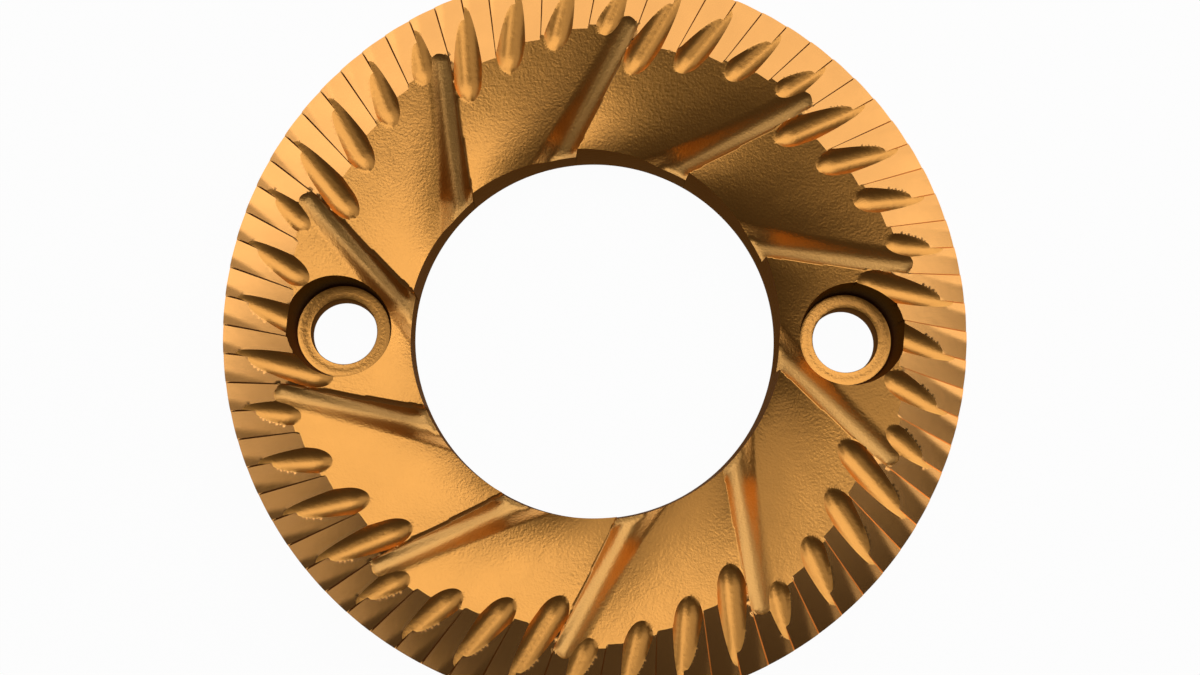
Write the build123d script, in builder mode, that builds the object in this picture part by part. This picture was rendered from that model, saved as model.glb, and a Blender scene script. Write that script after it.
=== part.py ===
from build123d import *
import os
from math import acos, cos, degrees, radians, sin, sqrt, tan

# Flat burr of a coffee grinder: one cast steel ring. Beans enter at the bore, the ribs drive them
# outward along ramped floors, the scoops break them and the fine teeth of the ground outer land
# finish the grind. Two screws hold the ring by its flat back. The frame has the bore on the Z axis,
# the flat back on Z = 0, the working face upward and the screws on the X axis. Every straight
# feature runs along a line that passes the axis at its own offset, with its outer end turned
# clockwise as seen from the working face.

# Ring
outer_diameter = 80.0
bore_diameter = 40.0
thickness = 8.0
back_chamfer = 0.4

# Screw seats
screw_count = 2
screw_circle_diameter = 55.4
screw_hole_diameter = 7.2
head_seat_diameter = 10.3
head_wall_draft = 6.0
seat_thickness = 2.6

# Ribs, and the floor that falls from each rib's crest to the foot of the next rib's wall
rib_count = 10
rib_line_offset = 10.7
rib_wall_lean = 20.0
land_width_after_rib = 8.2
land_width_before_rib = 5.2
floor_slope_at_land = 13.8
floor_depth_after_rib = 1.3
floor_depth_before_rib = 5.6
bore_ledge_depth = 4.3

# Round groove along the foot of each rib's wall
groove_radius = 1.5
groove_run_out = 1.0
groove_depth = 0.05
groove_bite = 0.03
groove_overlap = 0.2

# Scoops
scoops_per_rib = 4
scoop_line_offset = 12.0
scoop_radius = 1.9
scoop_slope = 7.4
scoop_straight_length = 9.0
scoop_length_step = 1.3
scoop_nose_length = 1.6
scoop_nose_radius = 1.0
scoop_tip_to_rim = 1.9
scoop_tip_depth = 0.08
scoop_tip_angle = 5.3

# Fine teeth
teeth_per_scoop = 2
tooth_line_offset = 7.2
tooth_wall_lean = 40.0
tooth_relief_angle = 8.0
tooth_margin_width = 1.0

# How far a cutter stands over the land and into the open bore, and where the upright sections of a
# floor stand, as shares of the way from one rib to the next
clearance = 0.5
gap_rise = 0.02
bore_overrun = 1.5
section_shares = [-0.1, 0.2, 0.5]

outer_radius = outer_diameter / 2
bore_radius = bore_diameter / 2
scoop_count = rib_count * scoops_per_rib
tooth_count = scoop_count * teeth_per_scoop
scoop_pitch = 360 / scoop_count
tooth_pitch = 360 / tooth_count
rib_pitch = 360 / rib_count
rib_end_radius = outer_radius - land_width_before_rib
scoop_tip_radius = outer_radius - scoop_tip_to_rim


def turn(offset, radius):
    """Angle at the axis from the nearest point of a line to its point at a radius."""
    return degrees(acos(offset / radius))


def reach(offset, radius):
    """Distance along a line from its nearest point to its point at a radius."""
    return sqrt(radius**2 - offset**2)


def directions(foot_angle):
    """Unit vectors across a line, to its counter-clockwise side, and along it, outward."""
    across = Vector(cos(radians(foot_angle)), sin(radians(foot_angle)), 0)
    along = Vector(across.Y, -across.X, 0)
    return across, along


def line_point(foot_angle, offset, distance, across=0.0, height=0.0):
    """Point beside a line: distance along it, then across it, with its height over the land."""
    side, outward = directions(foot_angle)
    return side * (offset + across) + outward * distance + Vector(0, 0, thickness + height)


# A tooth's wall runs through each scoop's tip, and each rib ends on the next tooth's wall
tooth_foot_angle = scoop_tip_angle + turn(tooth_line_offset, scoop_tip_radius)
scoop_foot_angle = scoop_tip_angle + turn(scoop_line_offset, scoop_tip_radius)
rib_end_angle = tooth_foot_angle + tooth_pitch - turn(tooth_line_offset, rib_end_radius)
rib_foot_angle = rib_end_angle + turn(rib_line_offset, rib_end_radius)

floor_slope = tan(radians(floor_slope_at_land))
wall_run = tan(radians(rib_wall_lean))
floor_bore = reach(rib_line_offset, bore_radius)
floor_inside = reach(rib_line_offset, bore_radius - bore_overrun)


def floor_edge(share):
    """Distance along a rib's line to the land's edge, at a share of the way to the next rib."""
    land_width = land_width_after_rib + (land_width_before_rib - land_width_after_rib) * share
    return reach(rib_line_offset, outer_radius - land_width)


def floor_height(share, distance):
    """Height of the floor over the land: a parabola from the land's edge to its depth at the bore."""
    depth = floor_depth_after_rib + (floor_depth_before_rib - floor_depth_after_rib) * share
    span = floor_edge(share) - floor_bore
    bend = (floor_slope * span - depth) / span**2
    inward = floor_edge(share) - distance
    return bend * inward**2 - floor_slope * inward


def floor_beside_wall(distance, across):
    """Height of the floor at a place beside the wall of the next rib, measured from that rib's line."""
    radius = sqrt(distance**2 + (rib_line_offset + across) ** 2)
    bearing = degrees(acos((rib_line_offset + across) / radius))
    share = 1 - (turn(rib_line_offset, radius) - bearing) / rib_pitch
    return floor_height(share, reach(rib_line_offset, radius))


# The floors and grooves go no deeper than a flat ledge at the bore
ledge_plane = Plane.XY.offset(thickness - bore_ledge_depth)

# Groove along the foot of each wall: its centre line keeps a little closer to the wall than its
# radius and lies just under the floor
groove_foot_angle = rib_foot_angle - rib_pitch
groove_outer = reach(rib_line_offset, rib_end_radius - groove_run_out)


def groove_centre(distance):
    """Centre of the groove at a distance along the rib's line: across the line, and over the land."""
    centres = []
    for end in [groove_outer, floor_bore]:
        height = floor_beside_wall(end, groove_radius) - groove_depth + groove_radius
        across = (groove_radius - groove_bite) / cos(radians(rib_wall_lean)) - height * wall_run
        centres.append(Vector(across, height))
    share = (groove_outer - distance) / (groove_outer - floor_bore)
    return centres[0] + (centres[1] - centres[0]) * share


groove_inside = reach(rib_line_offset + groove_centre(floor_bore).X, bore_radius - bore_overrun)


def groove_point(distance, over_land=None):
    """Point of the groove's centre line, or of the line straight above it at a height over the land."""
    centre = groove_centre(distance)
    height = centre.Y if over_land is None else over_land
    return line_point(groove_foot_angle, rib_line_offset, distance, centre.X, height)


# Pocket between two ribs: upright sections turned about the axis. The first stands past the crest of
# the rib before it, in the open space over that rib's wall, and the last stands along the groove.
with BuildPart() as sector_pocket:
    for share in section_shares:
        side, outward = directions(rib_foot_angle - rib_pitch * share)
        edge = floor_edge(share)
        middle = (edge + floor_inside) / 2
        origin = line_point(rib_foot_angle - rib_pitch * share, rib_line_offset, 0)
        with BuildSketch(Plane(origin, x_dir=outward, z_dir=-side)):
            with BuildLine():
                Bezier(
                    (edge, 0),
                    (middle, floor_slope * (middle - edge)),
                    (floor_inside, floor_height(share, floor_inside)),
                )
                Polyline(
                    (floor_inside, floor_height(share, floor_inside)),
                    (floor_inside, clearance),
                    (edge + clearance / floor_slope, clearance),
                    (edge, 0),
                )
            make_face()
    origin = groove_point(groove_outer, over_land=0)
    outward = (origin - groove_point(groove_inside, over_land=0)).normalized()
    span = (origin - groove_point(groove_inside, over_land=0)).length
    start_height = groove_centre(groove_outer).Y - groove_radius + groove_depth
    last_height = groove_centre(groove_inside).Y - groove_radius + groove_depth
    groove_fall = (start_height - last_height) / span
    with BuildSketch(Plane(origin, x_dir=outward, z_dir=outward.cross(Vector(0, 0, 1)))):
        with BuildLine():
            Bezier(
                (0, start_height),
                (-span / 2, (start_height + last_height) / 2),
                (-span, last_height),
            )
            Polyline(
                (-span, last_height),
                (-span, clearance),
                ((clearance - start_height) / groove_fall, clearance),
                (0, start_height),
            )
        make_face()
    loft(ruled=True)
    split(bisect_by=ledge_plane, keep=Keep.TOP)

# Groove cutter: a round cutter that runs out of the land at its outer end
groove_end = groove_point(groove_outer + 2 * groove_run_out)
groove_inward = groove_point(groove_inside) - groove_end
with BuildPart() as groove_cutter:
    with BuildSketch(Plane(groove_end, z_dir=groove_inward)):
        Circle(groove_radius)
    extrude(amount=groove_inward.length)
    split(bisect_by=ledge_plane, keep=Keep.TOP)

# Wall cutter: the open space between a rib's leaning wall and the line above its groove
wall_top = 2 * groove_radius
touch = Vector(cos(radians(rib_wall_lean)), sin(radians(rib_wall_lean))) * (groove_radius - groove_bite)
with BuildPart() as wall_cutter:
    side, outward = directions(groove_foot_angle)
    for distance in [groove_outer, groove_inside]:
        centre = groove_centre(distance)
        origin = line_point(groove_foot_angle, rib_line_offset, distance)
        with BuildSketch(Plane(origin, x_dir=side, z_dir=outward)):
            with BuildLine():
                Polyline(
                    (centre.X - touch.X, centre.Y - touch.Y),
                    (centre.X, centre.Y),
                    (centre.X + groove_overlap, wall_top),
                    (-wall_top * wall_run, wall_top),
                    close=True,
                )
            make_face()
    loft(ruled=True)

# Scoops: round cutters with a tapered nose that sink inward from a tip on the land, each shorter
# than the one before it
scoop_side, scoop_outward = directions(scoop_foot_angle)
scoop_sink = radians(scoop_slope)
scoop_inward = scoop_outward * -cos(scoop_sink) - Vector(0, 0, sin(scoop_sink))
scoop_up = Vector(0, 0, cos(scoop_sink)) - scoop_outward * sin(scoop_sink)
scoop_reach = reach(scoop_line_offset, scoop_tip_radius)
scoop_tip = line_point(scoop_foot_angle, scoop_line_offset, scoop_reach, height=-scoop_tip_depth)
scoop_start = scoop_tip + scoop_up * scoop_radius - scoop_inward * scoop_tip_to_rim
scoop_plane = Plane(scoop_start, x_dir=scoop_inward, z_dir=scoop_side)


def scoop_cutter(number):
    """Cutter of one scoop of a rib, counted clockwise from the rib."""
    straight = scoop_tip_to_rim + scoop_straight_length - number * scoop_length_step
    with BuildPart() as cutter:
        with BuildSketch(scoop_plane):
            with BuildLine():
                Polyline(
                    (0, 0),
                    (0, scoop_radius),
                    (straight, scoop_radius),
                    (straight + scoop_nose_length, scoop_nose_radius),
                    (straight + scoop_nose_length, 0),
                    close=True,
                )
            make_face()
        revolve(axis=Axis(scoop_start, scoop_inward))
    return cutter.part


scoop_cutters = [scoop_cutter(number) for number in range(scoops_per_rib)]

# Gap between two teeth: from the wall's foot the relief rises to the margin of the tooth before it
tooth_inner = reach(tooth_line_offset, outer_radius - land_width_after_rib - clearance)
tooth_outer = reach(tooth_line_offset, outer_radius + clearance)
tooth_spread = radians(tooth_pitch)
tooth_run = tan(radians(tooth_wall_lean))
tooth_relief = tan(radians(tooth_relief_angle))


def gap_section(distance):
    """Corners of the gap at a distance along the tooth's line: wall foot, relief top and wall top."""
    spacing = distance * tan(tooth_spread) + tooth_line_offset * (1 / cos(tooth_spread) - 1)
    relief_width = spacing - tooth_margin_width
    depth = relief_width * tooth_relief / (1 + tooth_run * tooth_relief)
    relief_top = relief_width + gap_rise / tooth_relief
    return [
        line_point(tooth_foot_angle, tooth_line_offset, distance, tooth_run * depth, -depth),
        line_point(tooth_foot_angle, tooth_line_offset, distance, relief_top, gap_rise),
        line_point(tooth_foot_angle, tooth_line_offset, distance, -tooth_run * gap_rise, gap_rise),
    ]


with BuildPart() as tooth_gap:
    ConvexPolyhedron(gap_section(tooth_inner) + gap_section(tooth_outer))

with BuildPart() as burr:
    with BuildSketch():
        Circle(outer_radius)
        Circle(bore_radius, mode=Mode.SUBTRACT)
    extrude(amount=thickness)
    chamfer(burr.edges().group_by(Axis.Z)[0], length=back_chamfer)

    with PolarLocations(0, rib_count):
        add(sector_pocket.part, mode=Mode.SUBTRACT)
    with PolarLocations(0, rib_count):
        add(wall_cutter.part, mode=Mode.SUBTRACT)
    with PolarLocations(0, rib_count):
        add(groove_cutter.part, mode=Mode.SUBTRACT)
    with PolarLocations(0, tooth_count):
        add(tooth_gap.part, mode=Mode.SUBTRACT)
    for number, cutter in enumerate(scoop_cutters):
        with PolarLocations(0, rib_count, start_angle=-number * scoop_pitch):
            add(cutter, mode=Mode.SUBTRACT)

    with BuildSketch(Plane.XY.offset(seat_thickness)):
        with PolarLocations(screw_circle_diameter / 2, screw_count):
            Circle(head_seat_diameter / 2)
    extrude(amount=thickness - seat_thickness, taper=-head_wall_draft, mode=Mode.SUBTRACT)
    with BuildSketch():
        with PolarLocations(screw_circle_diameter / 2, screw_count):
            Circle(screw_hole_diameter / 2)
    extrude(amount=thickness, mode=Mode.SUBTRACT)

burr.part.label = "burr"
os.makedirs("parts", exist_ok=True)
export_step(burr.part, "parts/burr.step")
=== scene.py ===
# %% [markdown]
# This lesson dresses one cast part: the flat burr of a coffee grinder, a gold coated steel ring that
# breaks and grinds the beans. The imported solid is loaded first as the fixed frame, so everything
# made here is in metres, in the same place as the solid.

import bpy
import numpy as np
from mathutils import Matrix


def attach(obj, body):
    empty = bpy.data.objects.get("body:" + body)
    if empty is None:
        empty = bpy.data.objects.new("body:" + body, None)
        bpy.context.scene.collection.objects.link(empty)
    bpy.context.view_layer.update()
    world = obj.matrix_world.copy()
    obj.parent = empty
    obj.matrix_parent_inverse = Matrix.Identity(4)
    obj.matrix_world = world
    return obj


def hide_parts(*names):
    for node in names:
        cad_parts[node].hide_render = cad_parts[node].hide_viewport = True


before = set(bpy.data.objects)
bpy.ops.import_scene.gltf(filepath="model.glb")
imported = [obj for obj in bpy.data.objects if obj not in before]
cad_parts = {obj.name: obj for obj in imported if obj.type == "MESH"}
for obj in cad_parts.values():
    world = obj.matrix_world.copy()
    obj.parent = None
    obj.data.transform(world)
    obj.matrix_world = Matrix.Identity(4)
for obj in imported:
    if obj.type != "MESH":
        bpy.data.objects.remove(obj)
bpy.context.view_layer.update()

scene = bpy.context.scene

# %% [markdown]
# The working face is a pattern of straight features. Each of them, rib, scoop or tooth, lies along a
# line that passes the axis at its own distance and is repeated round the ring. So a place on the
# ring is best given by its radius and its clockwise angle, and one helper turns that into the two
# numbers that a feature cares about: how far the place is beside the line, and how far along it.
# The sizes are in millimetres. Most are those of the solid. The lean of the ribs' walls, the grooves,
# the ledge at the bore, the scoops' noses and the depth of the teeth are drawn finer here.

# %% Ring, ribs, scoops and teeth in numbers
OUTER_R, BORE_R, THICK, CHAMFER = 40.0, 20.0, 8.0, 0.4
RIBS, SCOOPS, TEETH = 10, 40, 80
RIB_OFFSET, SCOOP_OFFSET, TOOTH_OFFSET = 10.7, 12.0, 7.2
RIB_PITCH, SCOOP_PITCH, TOOTH_PITCH = 2 * np.pi / np.array([RIBS, SCOOPS, TEETH])
RIB_END_R, SCOOP_TIP_R = 34.8, 38.1
LAND_AFTER, LAND_BEFORE = 8.2, 5.2
FLOOR_AFTER, FLOOR_BEFORE, FLOOR_SLOPE, LEDGE = 1.3, 5.6, np.tan(np.radians(13.8)), 5.0
WALL_LEAN = np.radians(11.0)
GROOVE_R, GROOVE_RUN_OUT, GROOVE_BITE, GROOVE_BLEND = 0.65, 0.7, 0.02, 0.25
GROOVE_START, GROOVE_END, GROOVE_OPEN, SHOULDER = 0.55, 5.0, 1.6, 1.2
SCOOP_R, SCOOP_SLOPE, SCOOP_TIP_DEPTH = 1.9, np.radians(7.4), 0.08
SCOOP_STRAIGHT, SCOOP_STEP, NOSE_EARLY, NOSE_SHRINK = 9.0, 1.3, 1.4, 0.58
TOOTH_LEAN, TOOTH_AT_RIM, TOOTH_INSIDE = np.tan(np.radians(40.0)), 0.2, 0.12
MARGIN_AT_RIM, MARGIN_LENGTH = 1.1, 4.8
SEAT_CENTRE, SEAT_R, SEAT_DRAFT, SEAT_Z, HOLE_R = 27.7, 5.15, np.tan(np.radians(6.0)), 2.6, 3.6


def turn(offset, radius):
    """Angle from the nearest point of a line to its point at a radius: arc cosine of their ratio."""
    return np.arccos(np.clip(offset / radius, -1.0, 1.0))


def reach(offset, radius):
    """Distance along a line from its nearest point to its point at a radius, by Pythagoras."""
    return np.sqrt(radius**2 - offset**2)


SCOOP_TIP = -np.radians(5.3)
SCOOP_FOOT = SCOOP_TIP - turn(SCOOP_OFFSET, SCOOP_TIP_R)
TOOTH_FOOT = SCOOP_TIP - turn(TOOTH_OFFSET, SCOOP_TIP_R)
RIB_TOOTH = TOOTH_FOOT - TOOTH_PITCH
RIB_FOOT = RIB_TOOTH + turn(TOOTH_OFFSET, RIB_END_R) - turn(RIB_OFFSET, RIB_END_R)
FLOOR_BORE = reach(RIB_OFFSET, BORE_R)
GROOVE_OUTER = reach(RIB_OFFSET, RIB_END_R - GROOVE_RUN_OUT)
TOOTH_INNER = reach(TOOTH_OFFSET, OUTER_R - LAND_AFTER - 0.5)
TOOTH_RIM = reach(TOOTH_OFFSET, OUTER_R)
MARGIN_START = reach(TOOTH_OFFSET, OUTER_R - MARGIN_LENGTH)


def beside(r, phi, foot, offset):
    """Across and along a line: the place's polar components about the line's foot, less its offset."""
    return r * np.cos(phi - foot) - offset, r * np.sin(phi - foot)


print("rib foot", np.degrees(RIB_FOOT), "tooth foot", np.degrees(TOOTH_FOOT))

# %% [markdown]
# A cast surface is never quite even. A small lattice of random heights, blended smoothly between its
# points, gives soft swells of any size without a texture. The lattice is seeded, so every run gives
# the same casting.

# %% Soft random swells
LATTICE_SIZE = 64
LATTICE = np.random.default_rng(41).uniform(-1.0, 1.0, (LATTICE_SIZE, LATTICE_SIZE))


def swell(x, y, size):
    """Lattice noise: the four random heights round a place, blended by smooth step of its position."""
    u, v = x / size, y / size
    i, j = np.floor(u).astype(int), np.floor(v).astype(int)
    a, b = u - i, v - j
    a, b = a * a * (3 - 2 * a), b * b * (3 - 2 * b)
    i0, i1, j0, j1 = (k % LATTICE_SIZE for k in (i, i + 1, j, j + 1))
    low = LATTICE[i0, j0] * (1 - a) + LATTICE[i1, j0] * a
    high = LATTICE[i0, j1] * (1 - a) + LATTICE[i1, j1] * a
    return low * (1 - b) + high * b


print("swell at the origin", swell(np.zeros(1), np.zeros(1), 2.0))

# %% [markdown]
# The floor between two ribs is a ramp. Along the rib's direction it falls from the land to the bore
# with a slight bow, and round the ring it gets deeper until the wall of the next rib stops it. A
# groove runs along the foot of that wall: round beside the wall, and open with a soft shoulder
# towards the floor. Each of these is a height over the land at a place, and where several meet the
# lowest wins, as it does when real cutters remove metal.

# %% Floors, walls and grooves
LAND, TOOTH_WALL, FLOOR, RIB_WALL, SCOOP, LEDGE_FLAT, SEAT = range(7)
FADE_FROM, FADE_OVER = 0.4, 0.5
BROAD_SWELL, FINE_SWELL = (0.006, 2.3), (0.005, 0.8)
CREST_SWELL = (0.025, 1.1)
WALL_SHADE = 3.0
LEDGE_SWELL, NEXT_FLOOR_FROM = 0.3, 0.9
NO_CUT = 9.0


def floor_height(share, r):
    """Chord from land's edge to bore, less a parabola's bow that fades near the next rib."""
    edge = reach(RIB_OFFSET, OUTER_R - LAND_AFTER + (LAND_AFTER - LAND_BEFORE) * share)
    depth = FLOOR_AFTER + (FLOOR_BEFORE - FLOOR_AFTER) * share
    span = edge - FLOOR_BORE
    inward = edge - reach(RIB_OFFSET, r)
    bow = (FLOOR_SLOPE * span - depth) / span**2
    fade = np.clip((share - FADE_FROM) / FADE_OVER, 0.0, 1.0)
    bow = bow * np.where(inward > 0, 1 - fade * fade * (3 - 2 * fade), 1.0)
    return -depth * inward / span + bow * inward * (inward - span)


def groove_centre(along):
    """Centre of the groove, across and over the land: it falls evenly, at its radius from the wall."""
    share = (GROOVE_OUTER - along) / (GROOVE_OUTER - FLOOR_BORE)
    level = GROOVE_R - GROOVE_START - (GROOVE_END - GROOVE_START) * share
    return (GROOVE_R - GROOVE_BITE) / np.cos(WALL_LEAN) - level * np.tan(WALL_LEAN), level


GROOVE_FALL = np.arctan2(groove_centre(GROOVE_OUTER)[1] - groove_centre(FLOOR_BORE)[1],
                         GROOVE_OUTER - FLOOR_BORE)


def soft_low(a, b, width):
    """Lower of two heights, with the crease rounded where they differ by less than a width."""
    near = np.clip(1 - np.abs(a - b) / width, 0.0, 1.0)
    return np.minimum(a, b) - near**2 * width / 4


def pocket(r, phi, x, y):
    """Lowest of floor, groove and rib wall, not under the ledge, and the label of the one that wins.

    The groove is round on the wall's side and a wider parabola on the floor's side.
    """
    turns = (phi - turn(RIB_OFFSET, r) - RIB_FOOT) / RIB_PITCH
    sector = np.floor(turns)
    share = turns - sector
    across, along = beside(r, phi, RIB_FOOT + (sector + 1) * RIB_PITCH, RIB_OFFSET)
    cast = BROAD_SWELL[0] * swell(x, y, BROAD_SWELL[1])
    cast = cast + FINE_SWELL[0] * swell(x + 31.0, y - 17.0, FINE_SWELL[1])
    floor = floor_height(share, r) + cast
    centre, level = groove_centre(along)
    past_end = np.clip(along - GROOVE_OUTER, 0.0, None)
    inside = np.clip(GROOVE_R**2 - (across - centre) ** 2 - past_end**2, 0.0, None)
    round_side = np.where(inside > 0, level - np.sqrt(inside) / np.cos(GROOVE_FALL), NO_CUT)
    rise = (across - centre) ** 2 / (2 * GROOVE_R * GROOVE_OPEN) + past_end**2 / (2 * GROOVE_R)
    open_side = level - GROOVE_R / np.cos(GROOVE_FALL) + rise
    groove = np.where(across < centre, round_side, open_side) + cast
    outward = np.clip((across - centre) / GROOVE_R, 0.0, 1.0)
    groove = soft_low(groove, floor, GROOVE_BLEND + (SHOULDER - GROOVE_BLEND) * outward)
    ragged = CREST_SWELL[0] * swell(x + 7.0, y + 3.0, CREST_SWELL[1])
    wall = -(across + ragged) / np.tan(WALL_LEAN)
    touch = centre - (GROOVE_R - GROOVE_BITE) * np.cos(WALL_LEAN)
    low = np.minimum(groove, np.where(across < touch, wall, floor))
    label = np.where((across < touch) & (wall < groove), RIB_WALL, FLOOR)
    label = np.where(low < -LEDGE, LEDGE_FLAT, label)
    low = np.maximum(low, -LEDGE + LEDGE_SWELL * cast)
    after = np.where(share > NEXT_FLOOR_FROM, floor_height(share - 1.0, r) + cast, NO_CUT)
    label = np.where(after < low, FLOOR, label)
    return np.minimum(low, after), label


def by_wall(r, phi):
    """Share that rises smoothly from 0 on the open floor to 1 at a rib's wall."""
    sector = np.floor((phi - turn(RIB_OFFSET, r) - RIB_FOOT) / RIB_PITCH)
    across, along = beside(r, phi, RIB_FOOT + (sector + 1) * RIB_PITCH, RIB_OFFSET)
    share = np.clip(1 - (across - groove_centre(along)[0]) / (WALL_SHADE * GROOVE_R), 0.0, 1.0)
    return np.where(along < GROOVE_OUTER + GROOVE_R, share * share * (3 - 2 * share), 0.0)


print("groove falls", np.degrees(GROOVE_FALL), "degrees")

# %% [markdown]
# The outer land is ground flat and carries fine teeth. Clockwise from a tooth's edge come a narrow
# flat margin, then a relief that falls gently to the foot of the next tooth's wall. The scoops are
# round cuts, like the marks of a tilted drill, that sink inward from a pointed tip on the land.

# %% Teeth and scoops
def relief(along, across):
    """Height over the land in a tooth's gap: wall falls to its foot, relief rises to the margin."""
    share = (along - TOOTH_INNER) / (TOOTH_RIM - TOOTH_INNER)
    depth = TOOTH_INSIDE + (TOOTH_AT_RIM - TOOTH_INSIDE) * share
    margin = MARGIN_AT_RIM * (along - MARGIN_START) / (TOOTH_RIM - MARGIN_START)
    spacing = along * np.tan(TOOTH_PITCH) + TOOTH_OFFSET * (1 / np.cos(TOOTH_PITCH) - 1)
    foot = depth * TOOTH_LEAN
    rising = -depth + (across - foot) * depth / (spacing - margin - foot)
    return np.where(across < foot, -across / TOOTH_LEAN, np.minimum(rising, 0.0)), across < foot


def land(r, phi):
    """Lower of a gap's own surface and the relief of the gap clockwise of it, with the wall marked."""
    turns = np.floor((phi - turn(TOOTH_OFFSET, r) - TOOTH_FOOT) / TOOTH_PITCH)
    foot = TOOTH_FOOT + (turns + 1) * TOOTH_PITCH
    across, along = beside(r, phi, foot, TOOTH_OFFSET)
    own, wall = relief(along, across)
    across, along = beside(r, phi, foot + TOOTH_PITCH, TOOTH_OFFSET)
    other, _ = relief(along, across)
    return np.minimum(own, other), np.where(wall & (own < other), TOOTH_WALL, LAND)


def scoop(r, phi):
    """Tilted round cut: height of its axis less the half chord, closed by a long round nose."""
    turns = np.round((phi - turn(SCOOP_OFFSET, r) - SCOOP_FOOT) / SCOOP_PITCH)
    across, along = beside(r, phi, SCOOP_FOOT + turns * SCOOP_PITCH, SCOOP_OFFSET)
    inward = reach(SCOOP_OFFSET, SCOOP_TIP_R) - along
    straight = SCOOP_STRAIGHT - SCOOP_STEP * (turns % (SCOOPS // RIBS))
    nose = NOSE_SHRINK * np.clip(inward - straight + NOSE_EARLY, 0.0, None)
    inside = SCOOP_R**2 - nose**2 - across**2
    axis = SCOOP_R / np.cos(SCOOP_SLOPE) - SCOOP_TIP_DEPTH - inward * np.tan(SCOOP_SLOPE)
    cut = axis - np.sqrt(np.clip(inside, 0.0, None)) / np.cos(SCOOP_SLOPE)
    return np.where((inside > 0) & (along > 0), cut, NO_CUT)


def face(r, phi):
    """Height over the back of the working face, and the label of the surface that lies lowest."""
    x, y = r * np.cos(phi), -r * np.sin(phi)
    height, label = land(r, phi)
    low, kind = pocket(r, phi, x, y)
    label = np.where(low < height, kind, label)
    height = np.minimum(height, low)
    cut = scoop(r, phi)
    label = np.where(cut < height, SCOOP, label)
    height = THICK + np.minimum(height, cut)
    mouth = SEAT_R + (height - SEAT_Z) * SEAT_DRAFT
    label = np.where(np.hypot(np.abs(x) - SEAT_CENTRE, y) < mouth, SEAT, label)
    return height, label


print("heights along one ray", face(np.linspace(20, 40, 5), np.full(5, 0.3))[0])

# %% [markdown]
# A plain polar grid would cut across the ribs and teeth and leave saw edges. Here the columns of the
# grid follow the rib's line up to the land and the tooth's line beyond it, with a few columns kept
# for every wall.

# %% Grid columns along the ribs and teeth
RELIEF_CELLS, WALL_CELLS = 9, 2
LAST_CELLS, GROOVE_CELLS, RIB_WALL_CELLS = 6, 7, 4
MOUTH_R = 20.3
SLOT_WIDTH, WALL_WIDTH, CREST_WIDTH = 0.23, 0.2, 0.09
NARROW_FROM, DRAW_OVER = 32.5, 4.0
WALL_LEAST, GROOVE_SPAN, LAST_SHARE, CREST_BACK = 0.15, 4.4, 0.3, 0.6
rows = np.concatenate([np.linspace(MOUTH_R, 28, 30, endpoint=False),
                       np.linspace(28, 36, 36, endpoint=False),
                       np.linspace(36, OUTER_R, 21)])


def crest_across(r):
    """How far beside its line a rib's crest stands: where the wall meets the floor behind it."""
    across = np.zeros(len(r))
    for _ in range(4):
        lag = (turn(RIB_OFFSET, r) - turn(RIB_OFFSET + across, r)) / RIB_PITCH
        across = np.clip(-floor_height(-lag, r), 0.0, None) * np.tan(WALL_LEAN)
    return across


def crest(r):
    """Clockwise angle of the first rib's crest, and past the rib's end that of its tooth's edge."""
    on_rib = RIB_FOOT + turn(RIB_OFFSET + crest_across(r), r)
    return np.where(r < RIB_END_R, on_rib, RIB_TOOTH + turn(TOOTH_OFFSET, r))


def wall_angles(r):
    """Angles that the rib's wall and its groove take, narrowing to the tooth's wall past the rib."""
    along = reach(RIB_OFFSET, r)
    centre, _ = groove_centre(along)
    top = crest_across(r)
    touch = np.maximum(centre - (GROOVE_R - GROOVE_BITE) * np.cos(WALL_LEAN), top + WALL_LEAST)
    wall = turn(RIB_OFFSET + top, r) - turn(RIB_OFFSET + touch, r)
    groove = turn(RIB_OFFSET + touch, r) - turn(RIB_OFFSET + touch + GROOVE_SPAN * GROOVE_R, r)
    blend = np.clip((r - NARROW_FROM) / (RIB_END_R - NARROW_FROM), 0, 1)
    tooth = SLOT_WIDTH / r
    return wall + (tooth - wall) * blend, groove + (LAST_SHARE * TOOTH_PITCH - groove) * blend


def tooth_edge(j, r):
    """Angle from the rib's edge to tooth j's edge, drawn together inside the land."""
    land_r = OUTER_R - LAND_AFTER + (LAND_AFTER - LAND_BEFORE) * j / (TEETH // RIBS)
    edge_r = np.maximum(r, land_r)
    on_land = RIB_TOOTH + j * TOOTH_PITCH + turn(TOOTH_OFFSET, edge_r) - crest(edge_r)
    plain = RELIEF_CELLS + WALL_CELLS
    share = j * plain / ((TEETH // RIBS - 1) * plain + LAST_CELLS)
    drawn = share * (RIB_PITCH - sum(wall_angles(r)))
    inside = np.clip((land_r - r) / DRAW_OVER, 0, 1)
    return on_land + (drawn - on_land) * inside, inside


def spread(start, end, cells):
    """Evenly spaced angles from start up to, and without, end, one row for each radius."""
    return start[:, None] + (end - start)[:, None] * (np.arange(cells) / cells)[None, :]


print("rows", len(rows), "first crest at", np.degrees(crest(rows[:1])))

# %% [markdown]
# One sector, from a rib's crest to the next, is put together block by block: seven reliefs, each with
# its tooth's wall, then the last relief, the groove and the rib's wall. Ten turned copies make the
# ring, so every rib is drawn with the same care.

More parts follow.
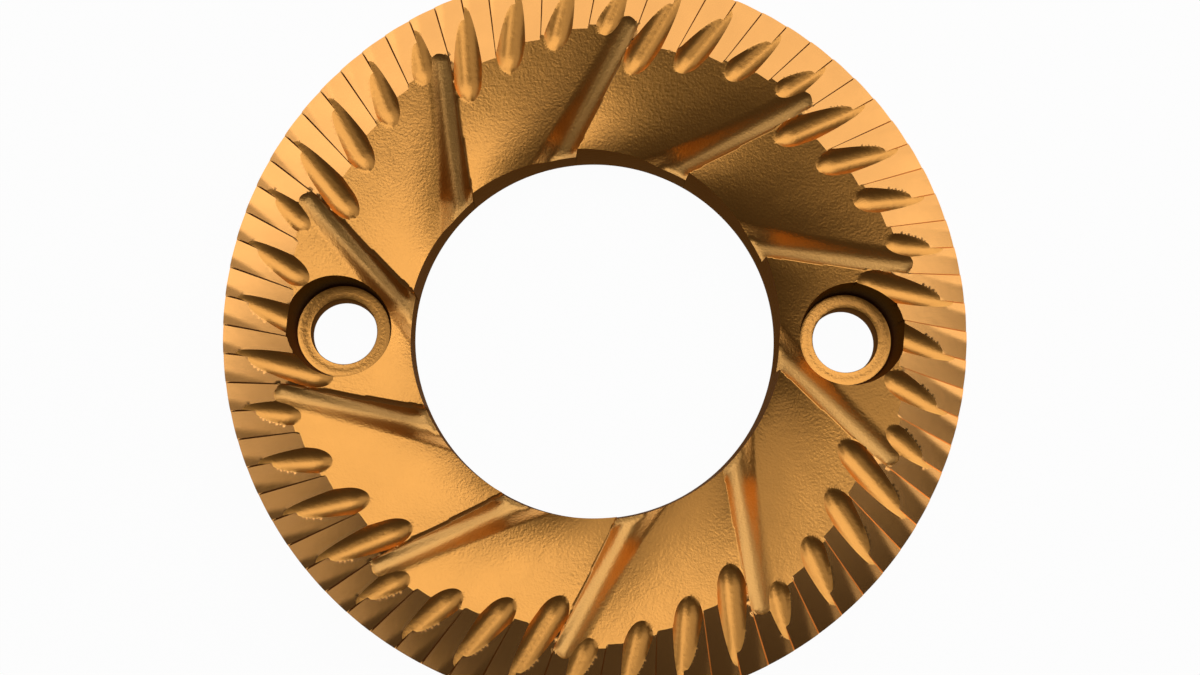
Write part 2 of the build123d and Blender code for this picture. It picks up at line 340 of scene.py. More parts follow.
# %% Grid of the whole ring
CREST_ROUND = CREST_WIDTH / rows
blocks = [np.zeros((len(rows), 1))]
edge = CREST_ROUND
for j in range(1, TEETH // RIBS):
    following, inside = tooth_edge(j, rows)
    even = (following - edge) * WALL_CELLS / (RELIEF_CELLS + WALL_CELLS)
    width = WALL_WIDTH / rows * (1 - inside) + even * inside
    blocks += [spread(edge, following - width, RELIEF_CELLS),
               spread(following - width, following, WALL_CELLS)]
    edge = following
last = np.full(len(rows), RIB_PITCH)
wall_width, groove_width = wall_angles(rows)
blocks += [spread(edge, last - wall_width - groove_width, LAST_CELLS),
           spread(last - wall_width - groove_width, last - wall_width, GROOVE_CELLS),
           spread(last - wall_width, last - CREST_BACK * CREST_ROUND, RIB_WALL_CELLS),
           (last - CREST_BACK * CREST_ROUND)[:, None]]
sector_angles = np.concatenate(blocks, axis=1)
first_crest = crest(rows)[:, None]
PHI = np.concatenate([first_crest + k * RIB_PITCH + sector_angles for k in range(RIBS)], axis=1)
RAD = np.repeat(rows[:, None], PHI.shape[1], axis=1)
print("grid", PHI.shape)

# %% [markdown]
# On the real burr a wall meets its floor in a clean line. Each grid edge whose two ends lie on
# different surfaces is searched for the place where they meet, by halving the way twelve times, and
# its nearer end is moved there, so that most creases have vertices on them.

# %% Find the creases
HALVINGS = 12


def meet(r0, p0, r1, p1, kind0):
    """Share of the way from one end of an edge to the place where its label changes, by halving."""
    low, high = np.zeros(len(r0)), np.ones(len(r0))
    for _ in range(HALVINGS):
        mid = (low + high) / 2
        same = face(r0 + (r1 - r0) * mid, p0 + (p1 - p0) * mid)[1] == kind0
        low, high = np.where(same, mid, low), np.where(same, high, mid)
    return (low + high) / 2


def snap(rad, phi):
    """Each vertex goes to the nearest crossing among its edges, if that is on its own half."""
    n, m = rad.shape
    label = face(rad, phi)[1]
    best, move_r, move_p = np.full(n * m, np.inf), np.zeros(n * m), np.zeros(n * m)
    index = np.arange(n * m).reshape(n, m)
    wrap = np.concatenate([phi, phi[:, :1] + 2 * np.pi], axis=1)
    ring = np.concatenate([index, index[:, :1]], axis=1)
    flat = [
        (ring[:, :-1], ring[:, 1:], wrap[:, :-1], wrap[:, 1:]),
        (ring[:-1, :-1], ring[1:, :-1], wrap[:-1, :-1], wrap[1:, :-1]),
        (ring[:-1, :-1], ring[1:, 1:], wrap[:-1, :-1], wrap[1:, 1:]),
        (ring[:-1, 1:], ring[1:, :-1], wrap[:-1, 1:], wrap[1:, :-1]),
    ]
    rim = np.zeros((n, m), bool)
    rim[[0, -1]] = True
    rim, rr, ll = rim.ravel(), rad.ravel(), label.ravel()
    for number, (a, b, pa, pb) in enumerate(flat):
        a, b, pa, pb = a.ravel(), b.ravel(), pa.ravel(), pb.ravel()
        cross = ll[a] != ll[b]
        a, b, pa, pb = a[cross], b[cross], pa[cross], pb[cross]
        share = meet(rr[a], pa, rr[b], pb, ll[a])
        dr, dp = rr[b] - rr[a], pb - pa
        length = np.hypot(dr, dp * rr[a])
        for end, part in ((a, share), (b, share - 1)):
            size = np.abs(part) * length
            good = (np.abs(part) <= 0.5) & ((number == 0) | ~rim[end]) & (size < best[end])
            best[end[good]] = size[good]
            move_r[end[good]] = (part * dr)[good]
            move_p[end[good]] = (part * dp)[good]
    moved = np.isfinite(best).reshape(n, m)
    return rad + move_r.reshape(n, m), phi + move_p.reshape(n, m), moved, label


GRID_RAD, GRID_PHI = RAD, PHI
RAD, PHI, MOVED, KIND = snap(RAD, PHI)
print("moved", int(MOVED.sum()), "of", MOVED.size)

# %% [markdown]
# A move can fold a cell over, which would leave a dark fleck in the picture. So the area of every
# cell is looked at from above, and the moves round a folded one are undone, a few times over.

# %% Undo moves that fold a cell
def plan_area(a, b, c):
    """Twice the signed area of triangles in plan: positive when seen from above."""
    return (b[0] - a[0]) * (c[1] - a[1]) - (b[1] - a[1]) * (c[0] - a[0])


def cell_areas(rad, phi):
    """Smaller of the two triangle areas of every cell, for each of its two diagonals."""
    plan = np.stack([rad * np.cos(phi), -rad * np.sin(phi)])
    beyond = np.roll(plan, -1, axis=2)
    p00, p01, p10, p11 = plan[:, :-1], beyond[:, :-1], plan[:, 1:], beyond[:, 1:]
    rising = np.minimum(plan_area(p00, p11, p10), plan_area(p00, p01, p11))
    falling = np.minimum(plan_area(p00, p01, p10), plan_area(p01, p11, p10))
    return rising, falling


LEAST_AREA = 0.0004
for _ in range(6):
    folded = np.maximum(*cell_areas(RAD, PHI)) < LEAST_AREA
    undo = np.zeros(RAD.shape, bool)
    undo[:-1] |= folded | np.roll(folded, 1, axis=1)
    undo[1:] |= folded | np.roll(folded, 1, axis=1)
    undo &= MOVED
    RAD, PHI, MOVED = np.where(undo, GRID_RAD, RAD), np.where(undo, GRID_PHI, PHI), MOVED & ~undo
    print("folded cells", int(folded.sum()), "moves undone", int(undo.sum()))

# %% [markdown]
# Every grid cell is split into two triangles along the diagonal that follows the surface better. The
# cells inside the two screw seats are then taken out, because the seats are rings of their own.

# %% Triangles of the working face
TALL, _ = face(RAD, PHI)
XX, YY = RAD * np.cos(PHI), -RAD * np.sin(PHI)
n_rows, n_cols = RAD.shape
INDEX = np.arange(n_rows * n_cols).reshape(n_rows, n_cols)
right = np.roll(INDEX, -1, axis=1)
c00, c01, c10, c11 = INDEX[:-1].ravel(), right[:-1].ravel(), INDEX[1:].ravel(), right[1:].ravel()
points = np.stack([XX.ravel(), YY.ravel(), TALL.ravel()], axis=1)


def true_height(xy):
    """Height and label of the working face at plan positions."""
    return face(np.hypot(xy[:, 0], xy[:, 1]), np.arctan2(-xy[:, 1], xy[:, 0]))


def diagonal_error(a, b):
    """Distance of a diagonal's middle from the true surface."""
    middle = (points[a] + points[b]) / 2
    return np.abs(true_height(middle[:, :2])[0] - middle[:, 2])


rising, falling = (area.ravel() for area in cell_areas(RAD, PHI))
better = diagonal_error(c00, c11) <= diagonal_error(c01, c10)
first = np.where(np.minimum(rising, falling) > LEAST_AREA, better, rising > falling)
tri_a = np.where(first[:, None], np.stack([c00, c11, c10], 1), np.stack([c00, c01, c10], 1))
tri_b = np.where(first[:, None], np.stack([c00, c01, c11], 1), np.stack([c01, c11, c10], 1))
triangles = np.concatenate([tri_a, tri_b])
centres = points[triangles].mean(axis=1)
kinds = true_height(centres[:, :2])[1]
in_seat = (KIND.ravel() == SEAT) & ~MOVED.ravel()
drop = in_seat[triangles].any(axis=1) | (kinds == SEAT)
triangles, kinds = triangles[~drop], kinds[~drop]
print("working face triangles", len(triangles))

# %% [markdown]
# Seats, bore, rim and back are rings of vertices. Rings with as many vertices are joined by a strip,
# and rings of unlike count by a zip that takes each step in the order of its angle. An edge that only
# one triangle uses is still open, so the same search finds a ring to join and shows at the end
# whether the piece is closed.

# %% Joining rings
EXTRA_BORE, EXTRA_SEAT, EXTRA_FLAT, EXTRA_RIM, EXTRA_BACK = range(7, 12)
all_points, all_tris, all_kinds = [points], [], []


def add_points(new):
    """Appends points and returns their numbers in the whole list."""
    start = sum(len(p) for p in all_points)
    all_points.append(new)
    return np.arange(start, start + len(new))


def add_strip(upper, lower, kind, flip=False):
    """Two triangles for each step between two rings with as many vertices."""
    a, b = upper, np.roll(upper, -1)
    c, d = lower, np.roll(lower, -1)
    tris = np.concatenate([np.stack([a, c, b], 1), np.stack([b, c, d], 1)])
    all_tris.append(tris[:, ::-1] if flip else tris)
    all_kinds.append(np.full(len(tris), kind))


def add_zip(ring_a, angle_a, ring_b, angle_b, kind, flip=False):
    """Triangles between two rings of unlike count: each step is taken in the order of its angle."""
    step_a = (angle_a + np.append(angle_a[1:], angle_a[0] + 2 * np.pi)) / 2
    step_b = (angle_b + np.append(angle_b[1:], angle_b[0] + 2 * np.pi)) / 2
    order = np.argsort(np.concatenate([step_a, step_b]), kind="stable")
    from_a = order < len(ring_a)
    at_a, at_b = np.cumsum(from_a), np.cumsum(~from_a)
    prev_a, prev_b = at_a - from_a, at_b - ~from_a
    now = np.stack([ring_a[prev_a % len(ring_a)], ring_b[prev_b % len(ring_b)]], 1)
    then = np.where(from_a, ring_a[at_a % len(ring_a)], ring_b[at_b % len(ring_b)])
    tris = np.column_stack([now, then])
    all_tris.append(tris[:, ::-1] if flip else tris)
    all_kinds.append(np.full(len(tris), kind))


def loose_edges(tris):
    """Edges that only one triangle uses, in its direction, and that triangle's number."""
    edges = np.concatenate([tris[:, [0, 1]], tris[:, [1, 2]], tris[:, [2, 0]]])
    size = edges.max() + 1
    forward, backward = edges[:, 0] * size + edges[:, 1], edges[:, 1] * size + edges[:, 0]
    loose = ~np.isin(forward, backward)
    return edges[loose], np.tile(np.arange(len(tris)), 3)[loose]


def about_seat(where):
    """Distance and angle of points about the nearer seat's axis in plan."""
    x, y = where[:, 0] - np.sign(where[:, 0]) * SEAT_CENTRE, where[:, 1]
    return np.hypot(x, y), np.arctan2(y, x)


print("open edges of the working face", len(loose_edges(triangles)[0]))

# %% [markdown]
# Taking out the seats' cells leaves a few triangles that stick into the opening. They are found as
# open edges that run the wrong way round the seat's axis, and are taken out too.

# %% Clear the seats' mouths
MOUTH_REACH = SEAT_R + 1.5
for _ in range(5):
    open_edges, owner = loose_edges(triangles)
    (gap, begin), (_, end) = about_seat(points[open_edges[:, 0]]), about_seat(points[open_edges[:, 1]])
    backward = (gap < MOUTH_REACH) & (np.sin(end - begin) > -1e-4)
    on_bore = np.isin(open_edges[:, 0], INDEX[0])
    keep = np.ones(len(triangles), bool)
    keep[owner[backward & ~on_bore]] = False
    triangles, kinds = triangles[keep], kinds[keep]
    print("triangles taken from the seats' rings", int((~keep).sum()))
all_tris, all_kinds = [triangles], [kinds]
open_edges, _ = loose_edges(triangles)

# %% [markdown]
# Two screws hold the burr. Each head sinks into a drafted round seat, so that it stays clear of the
# other burr, and its shank passes through a plain hole. The drafted wall, the flat with its small
# round corners and the hole grow down, ring by ring, from the seat's mouth in the working face.

# %% Seats
hole_rings = []
WALL_SHARES, FOOT_ROUND, FLAT_STEPS = (0.04, 0.2, 0.4, 0.6, 0.8, 1.0), 0.3, range(7, 11)
SEAT_LEVELS = [(5.06, SEAT_Z + 0.09), (4.85, SEAT_Z), (4.3, SEAT_Z), (HOLE_R + 0.25, SEAT_Z),
               (HOLE_R + 0.06, SEAT_Z - 0.06), (HOLE_R, SEAT_Z - 0.25), (HOLE_R, 0.0)]
for side in (1, -1):
    start = points[open_edges[:, 0]]
    near = np.hypot(start[:, 0] - side * SEAT_CENTRE, start[:, 1]) < MOUTH_REACH
    near &= np.abs(np.hypot(start[:, 0], start[:, 1]) - MOUTH_R) > 1e-6
    ring = np.unique(open_edges[near])
    offset = points[ring, :2] - [side * SEAT_CENTRE, 0]
    angle = np.arctan2(offset[:, 1], offset[:, 0])
    order = np.argsort(angle)
    ring, angle = ring[order], angle[order]
    radius, height = np.hypot(offset[order, 0], offset[order, 1]), points[ring, 2]
    profile = [(radius + (SEAT_R - radius) * t, height + (SEAT_Z + FOOT_ROUND - height) * t)
               for t in WALL_SHARES]
    profile += [(np.full(len(ring), a), np.full(len(ring), b)) for a, b in SEAT_LEVELS]
    above = ring
    for step, (ring_r, ring_z) in enumerate(profile):
        x, y = side * SEAT_CENTRE + ring_r * np.cos(angle), ring_r * np.sin(angle)
        below = add_points(np.stack([x, y, ring_z], 1))
        add_strip(above, below, EXTRA_FLAT if step in FLAT_STEPS else EXTRA_SEAT, flip=True)
        above = below
    hole_rings.append((above, angle))
print("seat ring sizes", [len(ring) for ring, _ in hole_rings])

# %% [markdown]
# The bore opens a little towards the working side, as a moulded hole does, and the rim is a plain
# cylinder. Both end in a small chamfer at the back.

# %% Bore and rim
def ring_down(top, radii_heights, kind, flip):
    """Rings below a row of the grid: each at its radius, at a share of the row's height over a low."""
    above = top
    for radius, share, low in radii_heights:
        angle = PHI.ravel()[top]
        height = low + (points[top, 2] - low) * share
        below = add_points(np.stack([radius * np.cos(angle), -radius * np.sin(angle), height], 1))
        add_strip(above, below, kind, flip=flip)
        above = below
    return above


BORE_STEPS = [(MOUTH_R, 0.96, CHAMFER), (BORE_R + 0.15, 0.5, CHAMFER), (BORE_R, 0.0, CHAMFER),
              (BORE_R + CHAMFER, 0.0, 0.0)]
RIM_STEPS = [(OUTER_R, 0.5, CHAMFER), (OUTER_R, 0.0, CHAMFER), (OUTER_R - CHAMFER, 0.0, 0.0)]
bore_ring = ring_down(INDEX[0], BORE_STEPS, EXTRA_BORE, False)
rim_ring = ring_down(INDEX[-1], RIM_STEPS, EXTRA_RIM, True)
print("bore and rim rings", len(bore_ring), len(rim_ring))

# %% [markdown]
# The back, which lies on the burr's carrier, is taken to be flat. One row of vertices passes round
# both screw holes between bore and rim, and every ring is joined to the next in the order of angle.

# %% Back
BACK_GAP, SPREAD_STEPS, HOLE_STEPS = 0.45, 70, 24


def by_angle(ring, xy):
    """A ring's vertices and their angles in rising order."""
    angle = np.arctan2(xy[:, 1], xy[:, 0])
    order = np.argsort(angle)
    return ring[order], angle[order]


def by_place(ring, centre):
    """The same for vertices of the whole list, about a centre in plan."""
    return by_angle(ring, np.concatenate(all_points)[ring, :2] - centre)


clear_r = HOLE_R + BACK_GAP
half_turn = np.arcsin(clear_r / SEAT_CENTRE)
hole_angles = half_turn * np.sin(np.linspace(-np.pi / 2, np.pi / 2, HOLE_STEPS + 1))
plain_angles = np.linspace(half_turn, np.pi - half_turn, SPREAD_STEPS + 1)[1:-1]
middle_r = np.full(len(plain_angles), SEAT_CENTRE * np.cos(half_turn))
chord = np.sqrt(np.clip(clear_r**2 - (SEAT_CENTRE * np.sin(hole_angles)) ** 2, 0.0, None))
near_r, far_r = SEAT_CENTRE * np.cos(hole_angles) - chord, SEAT_CENTRE * np.cos(hole_angles) + chord
near_t = np.concatenate([hole_angles, plain_angles, hole_angles + np.pi, plain_angles + np.pi])
near_all = np.concatenate([near_r, middle_r, near_r, middle_r])
near = add_points(np.stack([near_all * np.cos(near_t), near_all * np.sin(near_t), 0 * near_t], 1))
open_t, open_r = hole_angles[1:-1], far_r[1:-1]
far_t, far_all = np.concatenate([open_t, open_t + np.pi]), np.concatenate([open_r, open_r])
far_points = add_points(np.stack([far_all * np.cos(far_t), far_all * np.sin(far_t), 0 * far_t], 1))
far = near.copy()
second = HOLE_STEPS + 1 + len(plain_angles)
far[1:HOLE_STEPS] = far_points[:len(open_t)]
far[second + 1:second + HOLE_STEPS] = far_points[len(open_t):]
add_zip(*by_place(bore_ring, 0), *by_place(near, 0), EXTRA_BACK, flip=True)
add_zip(*by_place(rim_ring, 0), *by_place(far, 0), EXTRA_BACK)
for side, (ring, angle) in zip((1, -1), hole_rings):
    begin = 0 if side > 0 else second
    loop = np.union1d(near[begin:begin + HOLE_STEPS + 1], far[begin:begin + HOLE_STEPS + 1])
    add_zip(ring, angle, *by_place(loop, [side * SEAT_CENTRE, 0]), EXTRA_BACK, flip=True)
print("back vertices", len(near) + len(far_points))

# %% [markdown]
# All rings and strips are now one list of points and triangles. Points that no triangle uses are
# left out, millimetres become metres, and a count of open edges shows that the piece is closed.

# %% Gather the whole piece
vertices = np.concatenate(all_points) / 1000
faces = np.concatenate(all_tris)
labels = np.concatenate(all_kinds)
in_use, flat_faces = np.unique(faces, return_inverse=True)
vertices, faces = vertices[in_use], flat_faces.reshape(-1, 3)
left_open, _ = loose_edges(faces)
print("whole piece: vertices", len(vertices), "triangles", len(faces), "open edges", len(left_open))

# %% [markdown]
# The arrays go into one closed mesh at the origin. It also carries a number at each vertex that
# tells the coat how near a rib's wall is.

# %% Put the arrays into a mesh
def make_piece(name, coordinates, tris):
    """A mesh object at the origin from arrays of coordinates and triangles, smooth shaded."""
    mesh = bpy.data.meshes.new(name)
    mesh.vertices.add(len(coordinates))
    mesh.vertices.foreach_set("co", coordinates.astype(np.float32).ravel())
    mesh.loops.add(len(tris) * 3)
    mesh.loops.foreach_set("vertex_index", tris.astype(np.int32).ravel())
    mesh.polygons.add(len(tris))
    mesh.polygons.foreach_set("loop_start", np.arange(0, len(tris) * 3, 3, dtype=np.int32))
    mesh.polygons.foreach_set("use_smooth", np.ones(len(tris), bool))
    mesh.update(calc_edges=True)
    piece = bpy.data.objects.new(name, mesh)
    scene.collection.objects.link(piece)
    return piece


burr = make_piece("burr_cast", vertices, faces)
BACK_PART = 1.0
place = vertices * 1000
near_wall = by_wall(np.hypot(place[:, 0], place[:, 1]), np.arctan2(-place[:, 1], place[:, 0]))
near_wall = np.where(place[:, 2] > BACK_PART, near_wall, 0.0)
wall_number = burr.data.attributes.new("by_wall", "FLOAT", "POINT")
wall_number.data.foreach_set("value", near_wall.astype(np.float32))
print(burr.name, "edges", len(burr.data.edges), "vertices by a wall", int((near_wall > 0.5).sum()))

# %% [markdown]
# Ground and cut edges are crisp, and cast ones are slightly round. So an edge is marked sharp where
# two differently made surfaces meet at an angle, and the casting's own creases are shaded softly.

# %% Mark the sharp creases
MEETING_BEND, ANY_BEND = 4, 40
edge_of_loop = np.zeros(len(faces) * 3, np.int32)
burr.data.loops.foreach_get("edge_index", edge_of_loop)
order = np.argsort(edge_of_loop, kind="stable")
pair = (order // 3).reshape(-1, 2)
corner = vertices[faces]
normal = np.cross(corner[:, 1] - corner[:, 0], corner[:, 2] - corner[:, 0])
normal /= np.linalg.norm(normal, axis=1, keepdims=True) + 1e-20
bend = np.degrees(np.arccos(np.clip((normal[pair[:, 0]] * normal[pair[:, 1]]).sum(1), -1, 1)))
split = labels[pair[:, 0]] != labels[pair[:, 1]]
both_cast = np.isin(labels[pair], [FLOOR, RIB_WALL, LEDGE_FLAT]).all(axis=1)
sharp = ((split & (bend > MEETING_BEND)) | (bend > ANY_BEND)) & ~both_cast
attribute = burr.data.attributes.new("sharp_edge", "BOOLEAN", "EDGE")
attribute.data.foreach_set("value", sharp)
print("sharp edges", int(sharp.sum()))

# %% [markdown]
# The burr is cast steel under a thin, hard, gold coloured coat, so every finish is a metal with a
# warm tint. Two effects are common to all of them and are made once as node groups: a mottle,
# because a thin coat is never of quite one thickness, and a grain, which the casting skin has most
# and the ground land least.

# %% Mottle and grain as node groups
def new_group(name, inputs, output, kind):
    """Empty shader group with its sockets, and its nodes for input, output and coordinates."""
    group = bpy.data.node_groups.new(name, "ShaderNodeTree")
    for label, socket in inputs:
        group.interface.new_socket(label, in_out="INPUT", socket_type=socket)
    group.interface.new_socket(output, in_out="OUTPUT", socket_type=kind)
    given, result = group.nodes.new("NodeGroupInput"), group.nodes.new("NodeGroupOutput")
    return group, given, result, group.nodes.new("ShaderNodeTexCoord")


def mottle_group():
    """Tint times a number from 0.9 to 1.08, which noise of about four millimetres picks."""
    sockets = [("Tint", "NodeSocketColor")]
    group, given, result, coords = new_group("coat_mottle", sockets, "Color", "NodeSocketColor")
    noise = group.nodes.new("ShaderNodeTexNoise")
    noise.inputs["Scale"].default_value = 260.0
    noise.inputs["Detail"].default_value = 5.0
    level = group.nodes.new("ShaderNodeMapRange")
    level.inputs["To Min"].default_value = 0.9
    level.inputs["To Max"].default_value = 1.08
    scaled = group.nodes.new("ShaderNodeVectorMath")
    scaled.operation = "SCALE"
    group.links.new(coords.outputs["Object"], noise.inputs["Vector"])
    group.links.new(noise.outputs["Fac"], level.inputs["Value"])
    group.links.new(given.outputs["Tint"], scaled.inputs[0])
    group.links.new(level.outputs["Result"], scaled.inputs["Scale"])
    group.links.new(scaled.outputs["Vector"], result.inputs["Color"])
    return group


def grain_group():
    """Normal bent by noise: a tenth of a millimetre high at depth one, finer as fineness grows."""
    sockets = [("Fineness", "NodeSocketFloat"), ("Depth", "NodeSocketFloat")]
    group, given, result, coords = new_group("skin_grain", sockets, "Normal", "NodeSocketVector")
    noise = group.nodes.new("ShaderNodeTexNoise")
    noise.inputs["Detail"].default_value = 3.0
    bump = group.nodes.new("ShaderNodeBump")
    bump.inputs["Distance"].default_value = 0.0001
    group.links.new(coords.outputs["Object"], noise.inputs["Vector"])
    group.links.new(given.outputs["Fineness"], noise.inputs["Scale"])
    group.links.new(noise.outputs["Fac"], bump.inputs["Height"])
    group.links.new(given.outputs["Depth"], bump.inputs["Strength"])
    group.links.new(bump.outputs["Normal"], result.inputs["Normal"])
    return group


MOTTLE, GRAIN = mottle_group(), grain_group()
print("groups", MOTTLE.name, GRAIN.name)

# %% [markdown]
# Each finish is the same metal with its own tint, roughness and grain. A thin clear film on top adds a
# pale gleam to the gold, which a tinted metal alone does not give. The skin of the floors also reads
# the number stored at the vertices, and is duller beside a rib's wall. It is also a touch paler there,
# as painted shade that holds back the red glow of light bounced about in the grooves.

# %% One coat for every finish
# The second, paler gold is painted shade for the grooves, and the two browns are painted shade for the
# walls.
GOLD, GROOVE_SHADE_GOLD = (0.87, 0.4, 0.088), (0.84, 0.45, 0.13)
TAN, BORE_SHADE_BROWN, RIB_WALL_SHADE_BROWN = (0.83, 0.4, 0.115), (0.1, 0.055, 0.024), (0.45, 0.33, 0.17)
SKIN_ROUGH, WALL_ROUGH = 0.3, 0.42


def coat(name, tint, rough, film, fineness, depth):
    """Metal with the mottled tint, a roughness, a share of clear film, and a grain."""
    material = bpy.data.materials.new(name)
    material.use_nodes = True
    nodes, links = material.node_tree.nodes, material.node_tree.links
    shader = nodes["Principled BSDF"]
    shader.inputs["Metallic"].default_value = 1.0
    shader.inputs["Roughness"].default_value = rough
    shader.inputs["Coat Weight"].default_value = film
    shader.inputs["Coat Roughness"].default_value = 0.25
    mottle, grain = nodes.new("ShaderNodeGroup"), nodes.new("ShaderNodeGroup")
    mottle.node_tree, grain.node_tree = MOTTLE, GRAIN
    mottle.inputs["Tint"].default_value = (*tint, 1)
    grain.inputs["Fineness"].default_value = fineness
    grain.inputs["Depth"].default_value = depth
    links.new(mottle.outputs["Color"], shader.inputs["Base Color"])
    links.new(grain.outputs["Normal"], shader.inputs["Normal"])
    return material, mottle


def shade_tint_by_walls(material, mottle):
    """Mixes in a paler tint as painted shade by the number at the vertices, and a duller roughness
    with it.
    """
    nodes, links = material.node_tree.nodes, material.node_tree.links
    number = nodes.new("ShaderNodeAttribute")
    number.attribute_name = "by_wall"
    mixed = nodes.new("ShaderNodeMix")
    mixed.data_type = "RGBA"
    mixed.inputs["A"].default_value = (*GOLD, 1)
    mixed.inputs["B"].default_value = (*GROOVE_SHADE_GOLD, 1)
    links.new(number.outputs["Fac"], mixed.inputs["Factor"])
    links.new(mixed.outputs["Result"], mottle.inputs["Tint"])
    duller = nodes.new("ShaderNodeMapRange")
    duller.inputs["To Min"].default_value = SKIN_ROUGH
    duller.inputs["To Max"].default_value = WALL_ROUGH
    links.new(number.outputs["Fac"], duller.inputs["Value"])
    links.new(duller.outputs["Result"], nodes["Principled BSDF"].inputs["Roughness"])


print("tints", GOLD, GROOVE_SHADE_GOLD, TAN, BORE_SHADE_BROWN, RIB_WALL_SHADE_BROWN)

# %% [markdown]
# Five finishes cover the part. The land and teeth are ground and smoothest, the floors keep the
# casting skin, and the scoops are cut. The real part most likely has the one coat on its steep walls
# too, and there it lies in shadow. A render throws more light into such corners, with a red glow, so
# the walls of ribs, bore and seats carry painted shade here: browner tints that stand in for that
# shadow.

# %% Finishes on the mesh
ground, _ = coat("gold_ground_land", TAN, 0.2, 0.15, 900.0, 0.05)
skin, skin_mottle = coat("gold_cast_floor", GOLD, SKIN_ROUGH, 0.2, 3600.0, 0.38)
shade_tint_by_walls(skin, skin_mottle)
cut, _ = coat("gold_cut_scoop", GOLD, 0.34, 0.2, 2400.0, 0.25)
# Painted shade: the bore and seats get a dark brown tint and a brown specular tint in place of their
# shadow.
bore_shade, _ = coat("painted_shade_bore_wall", BORE_SHADE_BROWN, 0.6, 0.0, 2200.0, 0.4)
bore_shade_shader = bore_shade.node_tree.nodes["Principled BSDF"]
bore_shade_shader.inputs["Specular Tint"].default_value = (0.55, 0.37, 0.25, 1)
# Painted shade: the ribs' walls get a browner, paler tint that stands in for the shadow they lie in.
rib_wall_shade, _ = coat("painted_shade_rib_wall", RIB_WALL_SHADE_BROWN, 0.45, 0.0, 3000.0, 0.3)
finishes = [ground, skin, cut, bore_shade, rib_wall_shade]
for finish in finishes:
    burr.data.materials.append(finish)
slot_of = np.full(EXTRA_BACK + 1, finishes.index(skin))
slot_of[[LAND, TOOTH_WALL]] = finishes.index(ground)
slot_of[SCOOP] = finishes.index(cut)
slot_of[[EXTRA_BORE, EXTRA_SEAT]] = finishes.index(bore_shade)
slot_of[RIB_WALL] = finishes.index(rib_wall_shade)
burr.data.polygons.foreach_set("material_index", slot_of[labels].astype(np.int32))
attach(burr, "root")
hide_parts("burr")
print("finishes", [m.name for m in finishes])

# %% [markdown]
# The set is a pale floor, as in a catalogue picture. For rays that come straight from the camera or
# off the metal most of it glows evenly, so the background is white, and the rest takes the shadow.

# %% Floor
GLOW_SHARE = 0.97
plane = bpy.data.meshes.new("floor")
plane.from_pydata([(-2, -2, 0), (2, -2, 0), (2, 2, 0), (-2, 2, 0)], [], [(0, 1, 2, 3)])
floor = bpy.data.objects.new("floor", plane)
scene.collection.objects.link(floor)
paper = bpy.data.materials.new("pale_floor")
paper.use_nodes = True
nodes, links = paper.node_tree.nodes, paper.node_tree.links
nodes.clear()
path = nodes.new("ShaderNodeLightPath")
seen = nodes.new("ShaderNodeMath")
seen.operation = "MAXIMUM"
links.new(path.outputs["Is Camera Ray"], seen.inputs[0])
links.new(path.outputs["Is Glossy Ray"], seen.inputs[1])
seen_all = nodes.new("ShaderNodeMath")
seen_all.operation = "MAXIMUM"
links.new(seen.outputs[0], seen_all.inputs[0])
links.new(path.outputs["Is Transmission Ray"], seen_all.inputs[1])
share = nodes.new("ShaderNodeMath")
share.operation = "MULTIPLY"
share.inputs[1].default_value = GLOW_SHARE
links.new(seen_all.outputs[0], share.inputs[0])
matt = nodes.new("ShaderNodeBsdfDiffuse")
matt.inputs["Color"].default_value = (0.9, 0.9, 0.9, 1)
glow = nodes.new("ShaderNodeEmission")
glow.inputs["Strength"].default_value = 1.0
blend = nodes.new("ShaderNodeMixShader")
links.new(share.outputs[0], blend.inputs["Fac"])
links.new(matt.outputs[0], blend.inputs[1])
links.new(glow.outputs[0], blend.inputs[2])
out = nodes.new("ShaderNodeOutputMaterial")
links.new(blend.outputs[0], out.inputs["Surface"])
plane.materials.append(paper)
print("floor", floor.name)

# %% [markdown]
# Metal shows what it reflects. One large soft panel stands high at the upper right, so the floors at
# the lower left mirror it and those at the upper right do not. A weaker one at the upper left fills
# the floors at the lower right, a small one lights the land on the right, and one low at the right
# draws the bright lines on the teeth's walls. All else is dim, which keeps the brown shadows.

# %% Light
world = bpy.data.worlds.new("studio")
scene.world = world
world.use_nodes = True
world.node_tree.nodes["Background"].inputs["Color"].default_value = (1, 0.88, 0.74, 1)
world.node_tree.nodes["Background"].inputs["Strength"].default_value = 0.05


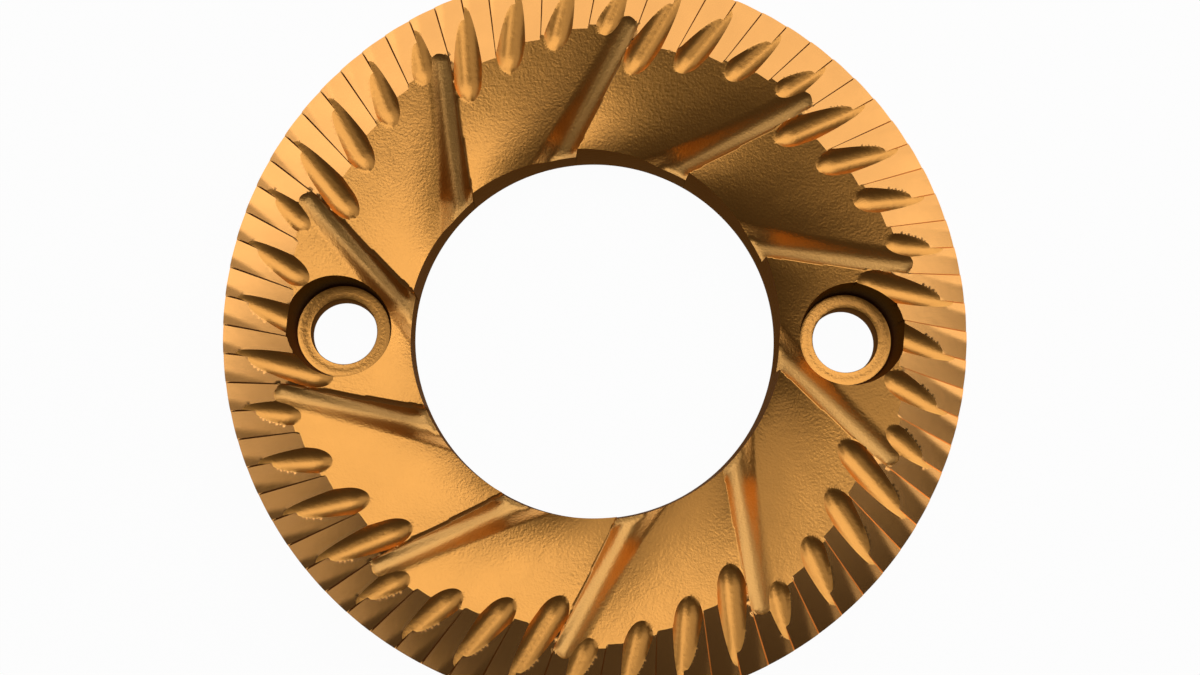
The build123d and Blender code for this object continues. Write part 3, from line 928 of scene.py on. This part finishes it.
def panel(name, tilt, azimuth, distance, size, radiance):
    """Square area lamp that faces the ring, from a tilt off the vertical towards an azimuth."""
    tilt, azimuth = np.radians(tilt), np.radians(azimuth)
    back = np.array([np.sin(tilt) * np.cos(azimuth), np.sin(tilt) * np.sin(azimuth), np.cos(tilt)])
    right = np.cross([0, 0, 1], back)
    right /= np.linalg.norm(right)
    up = np.cross(back, right)
    lamp = bpy.data.lights.new(name, "AREA")
    lamp.shape = "SQUARE"
    lamp.size = size
    lamp.energy = radiance * np.pi * size**2
    body = bpy.data.objects.new(name, lamp)
    pose = np.eye(4)
    pose[:3, 0], pose[:3, 1], pose[:3, 2], pose[:3, 3] = right, up, back, back * distance
    body.matrix_world = Matrix(pose.tolist())
    scene.collection.objects.link(body)
    return body


# Name, tilt and azimuth in degrees, distance and size in metres, radiance
PANELS = [("key", 36.0, 62.0, 0.45, 0.44, 1.13),
          ("fill", 38.0, 150.0, 0.45, 0.4, 0.45),
          ("right", 24.0, 350.0, 0.45, 0.18, 0.45),
          ("side", 75.0, 25.0, 0.5, 0.4, 0.8)]
lamps = [panel(*row) for row in PANELS]
print("lamps", [lamp.name for lamp in lamps])

# %% [markdown]
# The camera looks down almost along the bore's axis. Its place, its direction and its lens come from
# the outlines of bore, rim and seats in the photo.

# %% Camera
EYE = np.array([-0.0056844, -0.0319915, 0.2013670])
AXES = np.array([[0.99938579, 0.01204401, 0.03290861],
                 [-0.01708546, 0.98737143, 0.15749840],
                 [-0.03059611, -0.15796393, 0.98697076]])
lens = bpy.data.cameras.new("camera")
lens.lens, lens.sensor_width = 54.692, 36.0
camera = bpy.data.objects.new("camera", lens)
pose = np.eye(4)
pose[:3, :3], pose[:3, 3] = AXES.T, EYE
camera.matrix_world = Matrix(pose.tolist())
scene.collection.objects.link(camera)
scene.camera = camera
scene.view_settings.view_transform = "Standard"
print("camera at", camera.location[:])

# %% [markdown]
# Last, the view layer is brought up to date.

# %% Update the view layer
bpy.context.view_layer.update()
